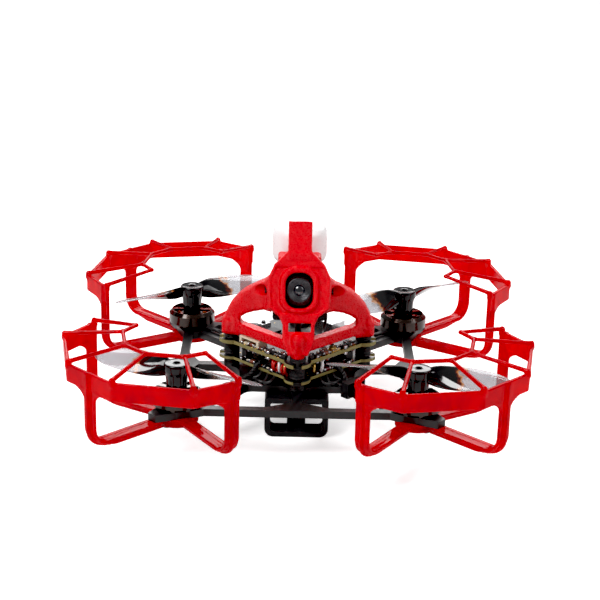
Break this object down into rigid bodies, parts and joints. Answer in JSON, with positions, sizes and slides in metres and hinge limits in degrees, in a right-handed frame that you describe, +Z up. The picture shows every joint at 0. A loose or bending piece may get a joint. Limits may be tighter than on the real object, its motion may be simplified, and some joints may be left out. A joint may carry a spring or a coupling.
{
  "type": "racing drone",
  "caption": "Small racing quadcopter with a flat carbon frame, ring prop guards, two-blade propellers, a tilting nose camera in a printed canopy, an antenna and a battery tray.",
  "frame": {"origin": "centre of the four motor axes, on the underside of the carbon plate", "axes": "+Z up along the motor axes, -Y forward where the camera looks, +X to the right when seen from the front"},
  "size_m": [0.1226, 0.1226, 0.0571],
  "materials": {
    "carbon_plate": "satin carbon fibre laminate",
    "guard_plastic": "translucent red moulded plastic",
    "motor_alloy": "black anodised aluminium",
    "stator_steel": "laminated silicon steel",
    "propeller_plastic": "smoky moulded polycarbonate",
    "magnet": "nickel-plated magnet",
    "screw_steel": "ground steel",
    "copper_wire": "enamelled copper",
    "black_steel": "black oxide steel",
    "circuit_board": "black solder mask on glass-fibre laminate",
    "chip": "black moulded chip",
    "damper_rubber": "soft black rubber",
    "brass": "gold-plated brass",
    "socket_steel": "tinned steel shell",
    "socket_plastic": "ivory connector plastic",
    "black_wire": "black insulation",
    "red_wire": "silicone insulation",
    "camera_plastic": "black moulded plastic",
    "lens_glass": "coated lens glass",
    "canopy_plastic": "red printed flexible plastic",
    "antenna_plastic": "white moulded plastic",
    "tray_plastic": "black printed flexible plastic"
  },
  "bodies": {
    "airframe": {"frame_plate": "carbon_plate", "prop_guard_front_right": "guard_plastic", "motor_base_front_right": "motor_alloy", "motor_stator_front_right": "stator_steel", "prop_guard_rear_right": "guard_plastic", "motor_base_rear_right": "motor_alloy", "motor_stator_rear_right": "stator_steel", "prop_guard_rear_left": "guard_plastic", "motor_base_rear_left": "motor_alloy", "motor_stator_rear_left": "stator_steel", "prop_guard_front_left": "guard_plastic", "motor_base_front_left": "motor_alloy", "motor_stator_front_left": "stator_steel", "motor_windings": "copper_wire", "motor_bearings": "screw_steel", "motor_screws": "black_steel", "lower_board": "circuit_board", "upper_board": "circuit_board", "lower_board_chips": "chip", "upper_board_chips": "chip", "board_header": "chip", "stack_dampers": "damper_rubber", "stack_screws": "black_steel", "canopy_inserts": "brass", "usb_socket": "socket_steel", "receiver_socket": "socket_plastic", "antenna_socket": "brass", "boot_button_case": "socket_steel", "motor_wires": "black_wire", "link_wires": "red_wire", "arm_tape": "black_wire", "camera_cable": "black_wire", "canopy": "canopy_plastic", "antenna_cap": "antenna_plastic", "antenna_cable": "black_wire", "battery_tray": "tray_plastic"},
    "rotor_front_right": {"propeller_front_right": "propeller_plastic", "motor_bell_front_right": "motor_alloy", "motor_magnets_front_right": "magnet", "motor_shaft_front_right": "screw_steel"},
    "rotor_rear_right": {"propeller_rear_right": "propeller_plastic", "motor_bell_rear_right": "motor_alloy", "motor_magnets_rear_right": "magnet", "motor_shaft_rear_right": "screw_steel"},
    "rotor_rear_left": {"propeller_rear_left": "propeller_plastic", "motor_bell_rear_left": "motor_alloy", "motor_magnets_rear_left": "magnet", "motor_shaft_rear_left": "screw_steel"},
    "rotor_front_left": {"propeller_front_left": "propeller_plastic", "motor_bell_front_left": "motor_alloy", "motor_magnets_front_left": "magnet", "motor_shaft_front_left": "screw_steel"},
    "camera": {"camera_housing": "camera_plastic", "camera_back_board": "circuit_board", "camera_lens_barrel": "camera_plastic", "camera_lens_glass": "lens_glass", "camera_screws": "black_steel"},
    "boot_button": {"boot_button_plunger": "chip"}
  },
  "joints": [
    {"name": "propeller_spin_front_right", "type": "hinge", "parent": "airframe", "child": "rotor_front_right", "pos_m": [0.031, -0.031, 0.01], "axis": [0, 0, 1], "continuous": true},
    {"name": "propeller_spin_rear_right", "type": "hinge", "parent": "airframe", "child": "rotor_rear_right", "pos_m": [0.031, 0.031, 0.01], "axis": [0, 0, 1], "continuous": true},
    {"name": "propeller_spin_rear_left", "type": "hinge", "parent": "airframe", "child": "rotor_rear_left", "pos_m": [-0.031, 0.031, 0.01], "axis": [0, 0, 1], "continuous": true},
    {"name": "propeller_spin_front_left", "type": "hinge", "parent": "airframe", "child": "rotor_front_left", "pos_m": [-0.031, -0.031, 0.01], "axis": [0, 0, 1], "continuous": true},
    {"name": "camera_tilt", "type": "hinge", "parent": "airframe", "child": "camera", "pos_m": [0, -0.00802, 0.02637], "axis": [1, 0, 0], "range_deg": [-8, 8]},
    {"name": "boot_button_press", "type": "slide", "parent": "airframe", "child": "boot_button", "axis": [0, 0, -1], "range_m": [0, 0.0002]}
  ]
}
